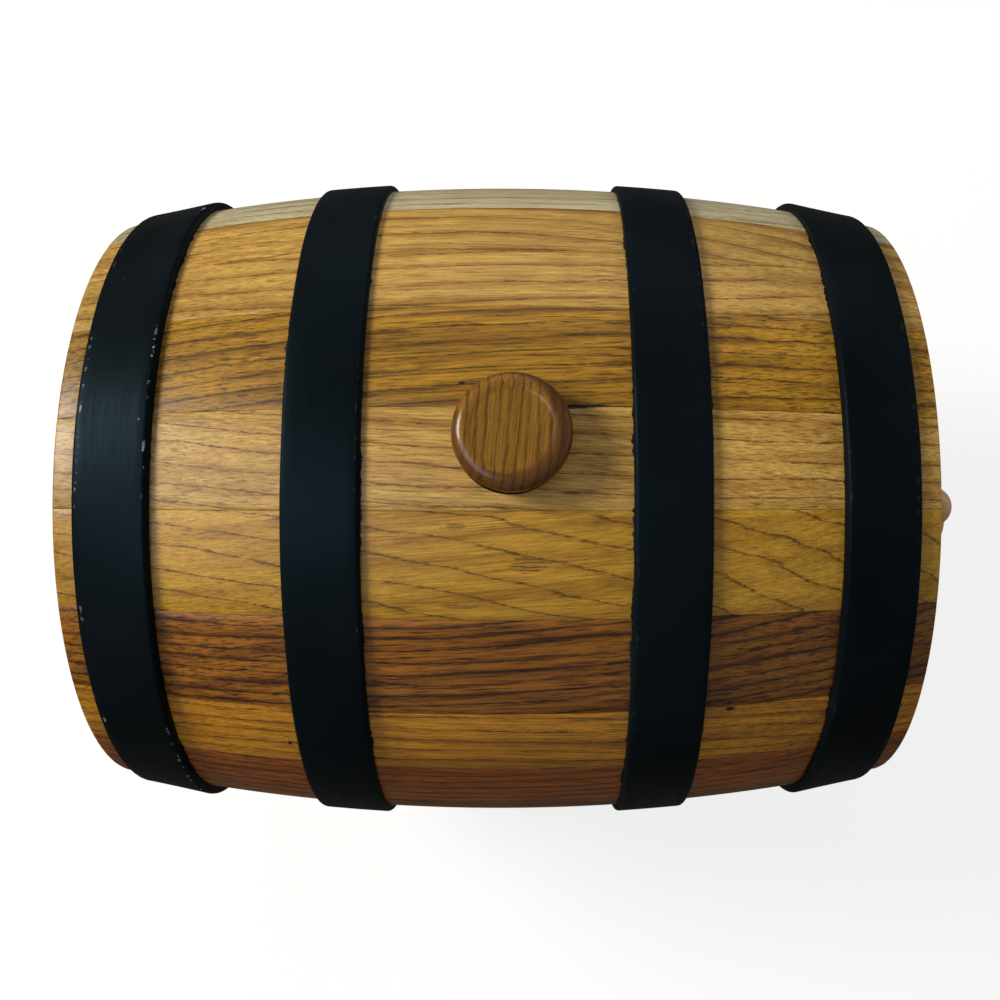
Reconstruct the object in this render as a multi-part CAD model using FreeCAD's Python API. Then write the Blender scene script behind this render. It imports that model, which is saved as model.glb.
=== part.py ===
import FreeCAD, Part

import math
import os

# A five litre oak cask on its stand, with a bung in the bilge and a wooden tap in one head.
# Millimetres. The origin is on the surface under the middle of the stand. +Z is up, +X runs
# along the cask towards the tap, and the bung points straight up.

# Cask
CASK_LENGTH = 260.0
BILGE_RADIUS = 112.0
CHIME_DROP = 13.0
STAVE_THICKNESS = 17.0
CHIME_EDGE = 9.5
FLOOR_GAP = 37.8

# Staves, by their width round the bilge, upwards from the one on the near side of the bung
LOW_STAVES = [27.0, 33.0, 32.0]
BUNG_STAVE = 30.0
HIGH_STAVES = [33.0, 24.5, 28.0]
PLAIN_STAVE = 31.0
BUNG_FROM_STAVE_EDGE = 21.0

# Heads
HEAD_THICKNESS = 13.0
HEAD_RECESS = 12.0
HEAD_BEVEL = 6.0
TONGUE_THICKNESS = 5.0
TONGUE_DEPTH = 3.0
CENTRE_BOARD = 38.0
DOWEL_RADIUS = 2.0
DOWEL_LENGTH = 16.0

# Hoops and their rivets
HOOP_WIDTH = 22.3
HOOP_THICKNESS = 2.2
HOOP_EDGE = 0.5
CHIME_OVERHANG = 7.7
BILGE_HOOP_FROM_MIDDLE = 38.7
LAP_LENGTH = 32.0
LAP_RAMP = 8.0
LAP_ANGLE = -128.0
RIVET_SPACING = 15.0
RIVET_RADIUS = 2.0
RIVET_HEAD_RADIUS = 3.6
RIVET_HEAD_HEIGHT = 1.5

# Bung
BUNG_OFFSET = 4.3
BUNG_RADIUS = 17.0
BUNG_ROUNDING = 3.8
BUNG_PROUD = 11.0
BUNG_LENGTH = 31.0
BUNG_TIP_RADIUS = 13.4
BUNG_CLEARANCE = 0.06

# Tap: its body is turned about the bore, and its key about a vertical line
TAP_FROM_RIM = 19.0
TAP_SHANK_RADIUS = 10.4
TAP_SHANK_TAPER = 1.8
TAP_INSIDE = 20.0
TAP_BORE = 4.0
COLLAR_RADIUS = 14.5
COLLAR_LENGTH = 6.0
COLLAR_CROWN = 2.0
NECK_RADIUS = 10.5
NECK_SWELL = 1.8
KEY_FROM_HEAD = 41.0
BARREL_RADIUS = 14.0
BARREL_LENGTH = 28.0
BARREL_CROWN = 1.0
NOSE_RADIUS = 11.5
NOSE_LENGTH = 11.0
NOSE_ROUNDING = 6.0
OUTLET_FROM_END = 7.0
KEY_RADIUS = 6.6
KEY_TAPER = 1.0
KEY_BELOW = 5.0
KEY_CLEARANCE = 0.05
HANDLE_RISE = 35.0
HANDLE_RADIUS = 8.0
HANDLE_LENGTH = 36.0
TENON_RADIUS = 4.0
TENON_LENGTH = 10.0
TENON_CLEARANCE = 0.03

# Stand
SADDLE_THICKNESS = 18.0
SADDLE_HEIGHT = 75.0
SADDLE_CLEARANCE = 0.3
HORN_WIDTH = 12.0
HORN_ROUNDING = 8.0
FOOT_WIDTH = 43.0
FOOT_ARCH_HEIGHT = 10.0
RAIL_FROM_END = 33.0
RAIL_WIDTH = 18.0
RAIL_HEIGHT = 32.0
RAIL_RISE = 6.0
SCREW_RADIUS = 2.0
SCREW_HEAD_RADIUS = 4.0
SCREW_LENGTH = 42.0
SCREW_SPACING = 16.0

# Worked out from the sizes above
V = FreeCAD.Vector
X_AXIS = V(1, 0, 0)
Y_AXIS = V(0, 1, 0)
Z_AXIS = V(0, 0, 1)
ORIGIN = V(0, 0, 0)

half_length = CASK_LENGTH / 2
curve_radius = (half_length**2 + CHIME_DROP**2) / (2 * CHIME_DROP)
curve_centre = BILGE_RADIUS - curve_radius
axis_height = FLOOR_GAP + HOOP_THICKNESS + BILGE_RADIUS
head_outer = half_length - HEAD_RECESS
head_inner = head_outer - HEAD_THICKNESS
tongue_outer = (head_outer + head_inner + TONGUE_THICKNESS) / 2
tongue_inner = tongue_outer - TONGUE_THICKNESS
head_hoop_outer = half_length - CHIME_OVERHANG
head_hoop_inner = head_hoop_outer - HOOP_WIDTH
bilge_hoop_outer = BILGE_HOOP_FROM_MIDDLE + HOOP_WIDTH
saddle_middle = (bilge_hoop_outer + head_hoop_inner) / 2


def outer_radius(x):
    """Radius of the cask's outside at x from its middle."""
    return math.sqrt(curve_radius**2 - x**2) + curve_centre


def inner_radius(x):
    """Radius of the cask's inside at x from its middle."""
    return math.sqrt((curve_radius - STAVE_THICKNESS) ** 2 - x**2) + curve_centre


rim_radius = inner_radius(head_outer)
croze_radius = inner_radius((tongue_inner + tongue_outer) / 2) + TONGUE_DEPTH
tap_drop = rim_radius - TAP_FROM_RIM
key_x = head_outer + KEY_FROM_HEAD
nose_x = key_x + BARREL_LENGTH / 2 + NOSE_LENGTH
outlet_x = nose_x - OUTLET_FROM_END
bung_top = outer_radius(BUNG_OFFSET) + BUNG_PROUD
head_joints = [CENTRE_BOARD / 2, (CENTRE_BOARD / 2 + croze_radius) / 2]
saddle_inner = saddle_middle - SADDLE_THICKNESS / 2
saddle_outer = saddle_middle + SADDLE_THICKNESS / 2
cradle_radius = outer_radius(saddle_inner) + SADDLE_CLEARANCE
horn_y = math.sqrt(cradle_radius**2 - (axis_height - SADDLE_HEIGHT) ** 2)
saddle_end = horn_y + HORN_WIDTH
rail_y = saddle_end - RAIL_FROM_END


def save(name, shape):
    """Write one node, checked to be closed solids."""
    if not shape.isValid() or not shape.Solids:
        raise ValueError(name + " is not a valid solid")
    shape.exportStep("parts/" + name + ".step")
    print(name, len(shape.Solids), round(shape.Volume / 1000, 2), "cm3")


def lift(shape):
    """Raise a shape made about the cask's axis to the height of that axis."""
    shape.translate(V(0, 0, axis_height))
    return shape


def outline(edges):
    """A flat face inside the given edges, in any order."""
    edges = [e.toShape() if hasattr(e, "toShape") else e for e in edges]
    return Part.Face(Part.Wire(Part.sortEdges(edges)[0]))


def line(a, b):
    return Part.makeLine(a, b)


def quarter_round(centre, start, end):
    """A quarter circle about centre, from start to end."""
    middle = centre + (start + end - centre * 2) * math.sqrt(0.5)
    return Part.Arc(start, middle, end)


def polygon(points):
    return Part.Face(Part.makePolygon(points + [points[0]]))


def shell_point(x, proud):
    """Point in the XZ plane that stands proud of the cask's outside, square to it at x."""
    angle = math.asin(x / curve_radius)
    radius = curve_radius + proud
    return V(radius * math.sin(angle), 0, curve_centre + radius * math.cos(angle))


def shell_arc(start_x, end_x, proud):
    middle = shell_point((start_x + end_x) / 2, proud)
    return Part.Arc(shell_point(start_x, proud), middle, shell_point(end_x, proud))


def about_axis(face, start, turn):
    """Sweep a face round the cask's axis from the angle start, measured from the bung
    towards +Y, through the angle turn."""
    face = face.copy()
    face.rotate(ORIGIN, X_AXIS, -start)
    return face.revolve(ORIGIN, V(-1, 0, 0), turn)


# Staves


def stave_face():
    """A stave's section along the cask, with its chime bevels and a croze near each end."""
    ends = [
        V(half_length, 0, outer_radius(half_length)),
        V(half_length, 0, outer_radius(half_length) - CHIME_EDGE),
        V(head_outer, 0, rim_radius),
        V(tongue_outer, 0, inner_radius(tongue_outer)),
        V(tongue_outer, 0, croze_radius),
        V(tongue_inner, 0, croze_radius),
        V(tongue_inner, 0, inner_radius(tongue_inner)),
    ]
    mirrored = [V(-p.x, 0, p.z) for p in ends]
    edges = [Part.Arc(mirrored[0], V(0, 0, BILGE_RADIUS), ends[0])]
    edges += [line(a, b) for a, b in zip(ends, ends[1:])]
    edges.append(Part.Arc(ends[-1], V(0, 0, BILGE_RADIUS - STAVE_THICKNESS), mirrored[-1]))
    edges += [line(a, b) for a, b in zip(mirrored[::-1], mirrored[-2::-1])]
    return outline(edges)


def stave_angles():
    """The angle at which each stave starts and its width in degrees."""
    degrees = 180 / math.pi / BILGE_RADIUS
    named = LOW_STAVES + [BUNG_STAVE] + HIGH_STAVES
    start = -(BUNG_FROM_STAVE_EDGE + sum(LOW_STAVES)) * degrees
    plain_total = 360 - sum(named) * degrees
    plain_count = round(plain_total / (PLAIN_STAVE * degrees))
    widths = [width * degrees for width in named]
    widths += [plain_total / plain_count] * plain_count
    angles = []
    for width in widths:
        angles.append((start, width))
        start += width
    return angles


def bung_cone(clearance):
    """The bung's tapered part, from its widest place to its tip, about its own axis."""
    length = BUNG_LENGTH - BUNG_ROUNDING
    cone = Part.makeCone(BUNG_TIP_RADIUS + clearance, BUNG_RADIUS + clearance, length)
    cone.translate(V(BUNG_OFFSET, 0, bung_top - BUNG_LENGTH))
    return cone


def build_staves():
    """Every stave, with the bung hole cut through those that it crosses."""
    face = stave_face()
    hole = bung_cone(BUNG_CLEARANCE)
    for number, (start, width) in enumerate(stave_angles(), 1):
        stave = about_axis(face, start, width)
        if stave.common(hole).Solids:
            stave = stave.cut(hole)
        save("stave_%02d" % number, lift(stave))


# Heads


def tap_shank(grow):
    """The tap's tapered shank from its inner end to the head's outer face. It is lengthened
    along its taper by grow, for use as a cutter."""
    length = HEAD_THICKNESS + TAP_INSIDE
    slope = TAP_SHANK_TAPER / length
    small = TAP_SHANK_RADIUS - TAP_SHANK_TAPER
    start = V(head_outer - length, 0, -tap_drop)
    return Part.makeCone(small, TAP_SHANK_RADIUS + slope * grow, length + grow, start, X_AXIS)


def head_disc():
    """A whole head with its bevelled rim, about the cask's axis at the tap's end."""
    face = polygon([
        V(head_inner, 0, 0),
        V(head_inner, 0, rim_radius - HEAD_BEVEL),
        V(tongue_inner, 0, inner_radius(tongue_inner)),
        V(tongue_inner, 0, croze_radius),
        V(tongue_outer, 0, croze_radius),
        V(tongue_outer, 0, inner_radius(tongue_outer)),
        V(head_outer, 0, rim_radius - HEAD_BEVEL),
        V(head_outer, 0, 0),
    ])
    return face.revolve(ORIGIN, X_AXIS, 360)


def head_dowels():
    """Two dowels across each joint between the boards of the head at the tap's end."""
    middle = (head_outer + head_inner) / 2
    dowels = []
    for joint in head_joints:
        half_chord = math.sqrt((rim_radius - HEAD_BEVEL) ** 2 - joint**2)
        for side in (-1, 1):
            for level in (-1, 1):
                base = V(middle, side * joint - DOWEL_LENGTH / 2, level * half_chord / 2)
                dowels.append(Part.makeCylinder(DOWEL_RADIUS, DOWEL_LENGTH, base, Y_AXIS))
    return dowels


def turned_round(shape):
    """A copy of a shape at the tap's end, turned to the cask's other end."""
    copy = shape.copy()
    copy.rotate(ORIGIN, Z_AXIS, 180)
    return copy


def build_heads():
    """Both heads, each of five upright boards. The tap goes through the middle one."""
    edges = head_joints + [croze_radius]
    edges = [-e for e in edges[::-1]] + edges
    dowels = head_dowels()
    disc = head_disc().cut(dowels)
    for number, (low, high) in enumerate(zip(edges, edges[1:]), 1):
        corner = V(0, low, -croze_radius)
        box = Part.makeBox(half_length, high - low, 2 * croze_radius, corner)
        board = disc.common(box)
        save("back_head_board_%d" % number, lift(turned_round(board)))
        if low < 0 < high:
            board = board.cut(tap_shank(1))
        save("front_head_board_%d" % number, lift(board))
    dowels += [turned_round(dowel) for dowel in dowels]
    save("head_dowels", lift(Part.makeCompound(dowels)))


# Hoops


def hoop_face(inner, outer, proud):
    """Section of the hoop's strip with eased outer edges, standing proud of the wood."""
    top = proud + HOOP_THICKNESS
    side = top - HOOP_EDGE
    ease = HOOP_EDGE
    return outline([
        shell_arc(inner, outer, proud),
        line(shell_point(outer, proud), shell_point(outer, side)),
        line(shell_point(outer, side), shell_point(outer - ease, top)),
        shell_arc(outer - ease, inner + ease, top),
        line(shell_point(inner + ease, top), shell_point(inner, side)),
        line(shell_point(inner, side), shell_point(inner, proud)),
    ])


def hoop_rivets(middle):
    """Two rivets in line along the strip, through both layers of the lap."""
    rivets = []
    root = shell_point(middle, 0)
    tilt = math.degrees(math.asin(middle / curve_radius))
    degrees = math.degrees(RIVET_SPACING / outer_radius(middle))
    height = 2 * HOOP_THICKNESS
    ball = (RIVET_HEAD_RADIUS**2 + RIVET_HEAD_HEIGHT**2) / (2 * RIVET_HEAD_HEIGHT)
    for side in (-0.5, 0.5):
        shank = Part.makeCylinder(RIVET_RADIUS, height + RIVET_HEAD_HEIGHT / 2)
        dome = Part.makeSphere(ball, V(0, 0, height + RIVET_HEAD_HEIGHT - ball))
        room = Part.makeCylinder(RIVET_HEAD_RADIUS, BILGE_RADIUS, V(0, 0, height))
        rivet = shank.fuse(dome.common(room)).removeSplitter()
        rivet.rotate(ORIGIN, Y_AXIS, tilt)
        rivet.translate(root)
        rivet.rotate(ORIGIN, X_AXIS, -(LAP_ANGLE + side * degrees))
        rivets.append(rivet)
    return rivets


def hoop_lap(inner, outer):
    """The outer end of the strip over the lap, with the ramp where it climbs on to it."""
    radius = outer_radius((inner + outer) / 2)
    lap = math.degrees(LAP_LENGTH / radius)
    ramp = math.degrees(LAP_RAMP / radius)
    face = hoop_face(inner, outer, HOOP_THICKNESS)
    layer = about_axis(face, -lap / 2, lap + ramp)
    edge = math.radians(lap / 2)
    crest = max(outer_radius(inner), outer_radius(outer)) + 2 * HOOP_THICKNESS
    above = Part.makeBox(CASK_LENGTH, BILGE_RADIUS, BILGE_RADIUS, V(-half_length, 0, 0))
    above.rotate(ORIGIN, X_AXIS, -lap / 2 - math.degrees(math.atan(HOOP_THICKNESS / LAP_RAMP)))
    above.translate(V(0, crest * math.sin(edge), crest * math.cos(edge)))
    layer = layer.cut(above)
    layer.rotate(ORIGIN, X_AXIS, -LAP_ANGLE)
    return layer


def build_hoops():
    """The four hoops, and their rivets as one group."""
    places = {
        "front_head_hoop": (head_hoop_inner, head_hoop_outer),
        "front_bilge_hoop": (BILGE_HOOP_FROM_MIDDLE, bilge_hoop_outer),
        "back_bilge_hoop": (-bilge_hoop_outer, -BILGE_HOOP_FROM_MIDDLE),
        "back_head_hoop": (-head_hoop_outer, -head_hoop_inner),
    }
    all_rivets = []
    for name, (inner, outer) in places.items():
        rivets = hoop_rivets((inner + outer) / 2)
        ring = about_axis(hoop_face(inner, outer, 0), LAP_ANGLE, 360)
        hoop = ring.fuse(hoop_lap(inner, outer)).cut(rivets)
        save(name, lift(hoop))
        all_rivets += rivets
    save("hoop_rivets", lift(Part.makeCompound(all_rivets)))


# Bung


def build_bung():
    """A tapered plug with a rounded edge round its flat face."""
    face_edge = V(BUNG_RADIUS - BUNG_ROUNDING, 0, bung_top)
    widest = V(BUNG_RADIUS, 0, bung_top - BUNG_ROUNDING)
    centre = V(face_edge.x, 0, widest.z)
    tip = V(BUNG_TIP_RADIUS, 0, bung_top - BUNG_LENGTH)
    bung = outline([
        line(V(0, 0, bung_top), face_edge),
        quarter_round(centre, face_edge, widest),
        line(widest, tip),
        line(tip, V(0, 0, tip.z)),
        line(V(0, 0, tip.z), V(0, 0, bung_top)),
    ]).revolve(ORIGIN, Z_AXIS, 360)
    bung.translate(V(BUNG_OFFSET, 0, 0))
    save("bung", lift(bung))


# Tap


def key_plug(clearance, above, below):
    """The key's tapered plug about a vertical line, from above to below the tap's axis."""
    slope = KEY_TAPER / BARREL_LENGTH
    middle = KEY_RADIUS - KEY_TAPER / 2 + clearance
    small = middle - slope * below
    large = middle + slope * above
    return Part.makeCone(small, large, above + below, V(key_x, 0, -tap_drop - below))


def bore(start_x, end_x):
    return Part.makeCylinder(TAP_BORE, end_x - start_x, V(start_x, 0, -tap_drop), X_AXIS)


def tap_outside():
    """The turned outside of the tap's body, from the head's face to its rounded nose."""
    barrel_start = key_x - BARREL_LENGTH / 2
    barrel_end = key_x + BARREL_LENGTH / 2
    collar_end = head_outer + COLLAR_LENGTH
    collar_side = COLLAR_RADIUS - COLLAR_CROWN
    barrel_side = BARREL_RADIUS - BARREL_CROWN

    def at(x, radius):
        return V(x, 0, radius)

    nose_edge = at(nose_x - NOSE_ROUNDING, NOSE_RADIUS)
    nose_face = at(nose_x, NOSE_RADIUS - NOSE_ROUNDING)
    nose_centre = at(nose_edge.x, nose_face.z)
    corners = [
        at(collar_end, collar_side),
        at(collar_end, NECK_RADIUS),
        at(barrel_start, NECK_RADIUS + NECK_SWELL),
        at(barrel_start, barrel_side),
    ]
    edges = [line(a, b) for a, b in zip(corners, corners[1:])]
    collar_top = at((head_outer + collar_end) / 2, COLLAR_RADIUS)
    edges += [
        Part.Arc(at(head_outer, collar_side), collar_top, corners[0]),
        Part.Arc(corners[-1], at(key_x, BARREL_RADIUS), at(barrel_end, barrel_side)),
        line(at(barrel_end, barrel_side), at(barrel_end, NOSE_RADIUS)),
        line(at(barrel_end, NOSE_RADIUS), nose_edge),
        quarter_round(nose_centre, nose_edge, nose_face),
        line(nose_face, at(nose_x, 0)),
        line(at(nose_x, 0), at(head_outer, 0)),
        line(at(head_outer, 0), at(head_outer, collar_side)),
    ]
    body = outline(edges).revolve(ORIGIN, X_AXIS, 360)
    body.translate(V(0, 0, -tap_drop))
    return body


def build_tap_body():
    """The tap's body, bored from its inner end to the outlet under its nose."""
    body = tap_outside().fuse(tap_shank(0))
    reach = BARREL_RADIUS + KEY_BELOW
    body = body.cut(key_plug(KEY_CLEARANCE, reach, reach))
    body = body.cut(bore(head_inner - TAP_INSIDE, outlet_x + TAP_BORE))
    outlet = Part.makeCylinder(TAP_BORE, reach, V(outlet_x, 0, -tap_drop - reach))
    save("tap_body", lift(body.cut(outlet)))


def build_tap_key():
    """The key with its cross hole in line with the bore, which is open, and the round-ended
    handle on the key's tenon."""
    shoulder = HANDLE_RISE - HANDLE_RADIUS
    socket_base = V(key_x, 0, shoulder - tap_drop)
    plug = key_plug(0, shoulder, BARREL_RADIUS + KEY_BELOW)
    tenon = Part.makeCylinder(TENON_RADIUS, TENON_LENGTH, socket_base)
    key = plug.fuse(tenon).cut(bore(key_x - BARREL_RADIUS, key_x + BARREL_RADIUS))
    save("tap_key", lift(key.removeSplitter()))

    straight = HANDLE_LENGTH - 2 * HANDLE_RADIUS
    start = V(key_x - straight / 2, 0, HANDLE_RISE - tap_drop)
    handle = Part.makeCylinder(HANDLE_RADIUS, straight, start, X_AXIS)
    for end in (start, start + V(straight, 0, 0)):
        handle = handle.fuse(Part.makeSphere(HANDLE_RADIUS, end))
    socket_radius = TENON_RADIUS + TENON_CLEARANCE
    socket_depth = TENON_LENGTH + TENON_CLEARANCE
    socket = Part.makeCylinder(socket_radius, socket_depth, socket_base)
    save("tap_handle", lift(handle.removeSplitter().cut(socket)))


# Stand


def saddle_board():
    """One saddle in the YZ plane at x = 0: an arched foot, two horns and the cask's cradle."""
    shoulder_z = SADDLE_HEIGHT - HORN_ROUNDING
    arch_y = saddle_end - FOOT_WIDTH
    arch_top = V(0, 0, FOOT_ARCH_HEIGHT)
    cradle_floor = V(0, 0, axis_height - cradle_radius)
    edges = [
        Part.Arc(V(0, arch_y, 0), arch_top, V(0, -arch_y, 0)),
        Part.Arc(V(0, horn_y, SADDLE_HEIGHT), cradle_floor, V(0, -horn_y, SADDLE_HEIGHT)),
    ]
    for side in (1, -1):
        horn = V(0, side * (saddle_end - HORN_ROUNDING), SADDLE_HEIGHT)
        shoulder = V(0, side * saddle_end, shoulder_z)
        foot = V(0, side * saddle_end, 0)
        edges += [
            line(V(0, side * horn_y, SADDLE_HEIGHT), horn),
            quarter_round(V(0, horn.y, shoulder_z), horn, shoulder),
            line(shoulder, foot),
            line(foot, V(0, side * arch_y, 0)),
        ]
    return outline(edges).extrude(V(SADDLE_THICKNESS, 0, 0))


def stand_screw(place, direction):
    """A countersunk wood screw with its head flush at place, pointing along direction * X."""
    head_depth = SCREW_HEAD_RADIUS - SCREW_RADIUS
    screw = polygon([
        V(0, 0, 0),
        V(0, 0, SCREW_HEAD_RADIUS),
        V(head_depth, 0, SCREW_RADIUS),
        V(SCREW_LENGTH - SCREW_RADIUS, 0, SCREW_RADIUS),
        V(SCREW_LENGTH, 0, 0),
    ]).revolve(ORIGIN, X_AXIS, 360)
    if direction < 0:
        screw.rotate(ORIGIN, Z_AXIS, 180)
    screw.translate(place)
    return screw


def build_stand():
    """Two saddles joined by two rails, with two screws through a saddle into each rail end."""
    rail_middle = RAIL_RISE + RAIL_HEIGHT / 2
    screws = []
    for end in (-1, 1):
        for side in (-1, 1):
            for level in (-0.5, 0.5):
                height = rail_middle + level * SCREW_SPACING
                screws.append(stand_screw(V(end * saddle_outer, side * rail_y, height), -end))
    for name, start in (("front_saddle", saddle_inner), ("back_saddle", -saddle_outer)):
        board = saddle_board()
        board.translate(V(start, 0, 0))
        save(name, board.cut(screws))
    for name, side in (("left_rail", 1), ("right_rail", -1)):
        corner = V(-saddle_inner, side * rail_y - RAIL_WIDTH / 2, RAIL_RISE)
        rail = Part.makeBox(2 * saddle_inner, RAIL_WIDTH, RAIL_HEIGHT, corner)
        save(name, rail.cut(screws))
    save("stand_screws", Part.makeCompound(screws))


os.makedirs("parts", exist_ok=True)
build_staves()
build_heads()
build_hoops()
build_bung()
build_tap_body()
build_tap_key()
build_stand()
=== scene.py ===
import math

import bmesh
import bpy
from mathutils import Matrix, Vector, noise


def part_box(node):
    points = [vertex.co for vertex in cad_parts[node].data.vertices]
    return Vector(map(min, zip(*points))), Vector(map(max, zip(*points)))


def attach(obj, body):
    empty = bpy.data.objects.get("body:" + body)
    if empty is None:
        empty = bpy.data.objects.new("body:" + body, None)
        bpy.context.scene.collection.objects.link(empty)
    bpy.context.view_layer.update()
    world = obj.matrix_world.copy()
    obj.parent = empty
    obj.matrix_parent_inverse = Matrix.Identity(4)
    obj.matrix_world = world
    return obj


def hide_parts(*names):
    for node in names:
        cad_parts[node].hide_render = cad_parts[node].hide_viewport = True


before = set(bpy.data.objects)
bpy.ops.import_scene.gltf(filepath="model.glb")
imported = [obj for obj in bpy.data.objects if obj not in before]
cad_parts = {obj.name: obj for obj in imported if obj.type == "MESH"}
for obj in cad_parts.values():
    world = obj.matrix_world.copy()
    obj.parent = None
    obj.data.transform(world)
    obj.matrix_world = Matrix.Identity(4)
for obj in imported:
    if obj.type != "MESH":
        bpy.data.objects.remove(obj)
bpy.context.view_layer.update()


# Staves
# Twenty-three staves of white oak, bent, jointed and turned round outside. Each has its own
# colour and figure. A croze near each end takes the head, and two of them share the bung hole.

MM = 0.001
STAVE_COUNT = 23
CHIME_EASE = 0.7 * MM
JOINT_EASE = 0.26 * MM
TONGUE_HALF = 2.5 * MM
LENGTH_STEPS = 48
WIDTH_STEPS = 8
SHARP = math.radians(32)
NEAR = 0.01 * MM
X_AXIS, Y_AXIS, Z_AXIS = Vector((1, 0, 0)), Vector((0, 1, 0)), Vector((0, 0, 1))
TIMES = dict(operation="MULTIPLY")
TIMES_PLUS = dict(operation="MULTIPLY_ADD")
SUM_TO_ONE = dict(operation="ADD", use_clamp=True)
SMOOTH = dict(interpolation_type="SMOOTHSTEP")


def colour(code):
    """A hex sRGB colour as linear red, green, blue and alpha."""
    shares = [int(code[i : i + 2], 16) / 255 for i in (1, 3, 5)]
    return [s / 12.92 if s <= 0.04045 else ((s + 0.055) / 1.055) ** 2.4 for s in shares] + [1]


def feed(tree, node, inputs):
    """Give a node its inputs. A node or a socket is linked, and anything else is a value."""
    for name, value in inputs.items():
        if isinstance(value, bpy.types.Node):
            value = value.outputs[0]
        if isinstance(value, bpy.types.NodeSocket):
            tree.links.new(value, node.inputs[name])
        else:
            node.inputs[name].default_value = value


def add(tree, kind, inputs, **settings):
    """Add a node with its settings and its inputs."""
    node = tree.nodes.new("ShaderNode" + kind)
    for name, value in settings.items():
        setattr(node, name, value)
    feed(tree, node, inputs)
    return node


def new_material(name):
    """A material with its tree, its Principled shader and its object coordinates."""
    material = bpy.data.materials.new(name)
    material.use_nodes = True
    tree = material.node_tree
    shader = tree.nodes["Principled BSDF"]
    return material, tree, shader, add(tree, "TexCoord", {}).outputs["Object"]


def in_scene(name, data):
    """Put a bmesh, a light or a camera into the scene as an object."""
    if isinstance(data, bmesh.types.BMesh):
        bm, data = data, bpy.data.meshes.new(name)
        bm.to_mesh(data)
        bm.free()
    thing = bpy.data.objects.new(name, data)
    bpy.context.scene.collection.objects.link(thing)
    return thing


def make_piece(bm, name, body, nodes, material):
    """Turn a bmesh into a piece that rides on a body and stands for its CAD nodes."""
    bmesh.ops.recalc_face_normals(bm, faces=bm.faces)
    piece = in_scene(name, bm)
    piece.data.shade_smooth()
    piece.data.set_sharp_from_angle(angle=SHARP)
    piece.data.materials.append(material)
    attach(piece, body)
    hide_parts(*nodes)
    return piece


def cut_away(piece, cutter):
    """Cut a bmesh's shape out of a piece."""
    bmesh.ops.recalc_face_normals(cutter, faces=cutter.faces)
    tool = in_scene("cutter", cutter)
    boolean = piece.modifiers.new("cut", "BOOLEAN")
    boolean.object = tool
    boolean.solver = "EXACT"
    graph = bpy.context.evaluated_depsgraph_get()
    whole = piece.data
    piece.data = bpy.data.meshes.new_from_object(piece.evaluated_get(graph), depsgraph=graph)
    piece.data.name = piece.name
    piece.data.set_sharp_from_angle(angle=SHARP)
    piece.modifiers.clear()
    for mesh in (whole, tool.data):
        bpy.data.meshes.remove(mesh)


def cone(low, high, low_radius, high_radius, steps=64):
    """A closed cone or cylinder between two points."""
    bm = bmesh.new()
    along = high - low
    turn = along.to_track_quat("Z", "Y").to_matrix().to_4x4()
    bmesh.ops.create_cone(bm, cap_ends=True, segments=steps, radius1=low_radius,
                          radius2=high_radius, depth=along.length,
                          matrix=Matrix.Translation((low + high) / 2) @ turn)
    return bm


def places(node):
    """The distance along the cask, from its axis and round it of each point of a CAD node."""
    found = []
    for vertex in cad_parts[node].data.vertices:
        x, y, z = vertex.co
        found.append((x, math.hypot(y, z - axis_z), math.atan2(y, z - axis_z)))
    return found


board_low, board_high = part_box("front_head_board_3")
axis_z = (board_low.z + board_high.z) / 2
axis_point = Vector((0, 0, axis_z))
croze_radius = (board_high.z - board_low.z) / 2
head_inner, head_outer = board_low.x, board_high.x
half_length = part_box("stave_12")[1].x
stave_places = places("stave_12")
bilge_radius = max(r for x, r, a in stave_places)
inside_radius = min(r for x, r, a in stave_places if abs(x) < 0.5 * half_length)
end_radii = [r for x, r, a in stave_places if x > half_length - NEAR]
chime_radius, chime_inside = max(end_radii), min(end_radii)
thickness = bilge_radius - inside_radius
drop = bilge_radius - chime_radius
curve_radius = (half_length**2 + drop**2) / (2 * drop)
curve_centre = Vector((0, 0, axis_z + bilge_radius - curve_radius))
tongue_middle = (head_inner + head_outer) / 2
tongue_inner, tongue_outer = tongue_middle - TONGUE_HALF, tongue_middle + TONGUE_HALF


def curved(x, proud):
    """A point over the cask's top line that stands proud of the wood, square to it at x."""
    lean = math.asin(x / curve_radius)
    reach = curve_radius + proud
    return curve_centre + Vector((reach * math.sin(lean), 0, reach * math.cos(lean)))


def inside(x):
    """The point on the inner side of the staves at x."""
    lean = math.asin(x / (curve_radius - thickness))
    return curved(curve_radius * math.sin(lean), -thickness)


def line_to(bm, *points):
    """Draw lines from the newest vertex, if there is one, from point to point."""
    for point in points:
        bm.verts.ensure_lookup_table()
        end = bm.verts.new(point)
        bm.verts.ensure_lookup_table()
        if len(bm.verts) > 1:
            bm.edges.new((bm.verts[-2], end))


def ease(bm, edges, reach, segments=3):
    """Round some edges over as far as reach to each side."""
    bmesh.ops.bevel(bm, geom=edges, offset=reach, segments=segments, profile=0.5,
                    affect="EDGES", material=-1)


def arc_about(bm, centre, turn, steps=8, axis=Y_AXIS):
    """Draw an arc from the newest vertex about a centre."""
    bm.verts.ensure_lookup_table()
    bmesh.ops.spin(bm, geom=[bm.verts[-1]], cent=centre, axis=axis, angle=turn, steps=steps)


def curve_along(bm, start, end_x, steps):
    """Draw the cask's curve from a point to end_x, as a chain of edges."""
    line_to(bm, start)
    reach = (start - curve_centre).length
    turn = math.asin(end_x / reach) - math.asin(start.x / reach)
    arc_about(bm, curve_centre, turn, steps)


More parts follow.
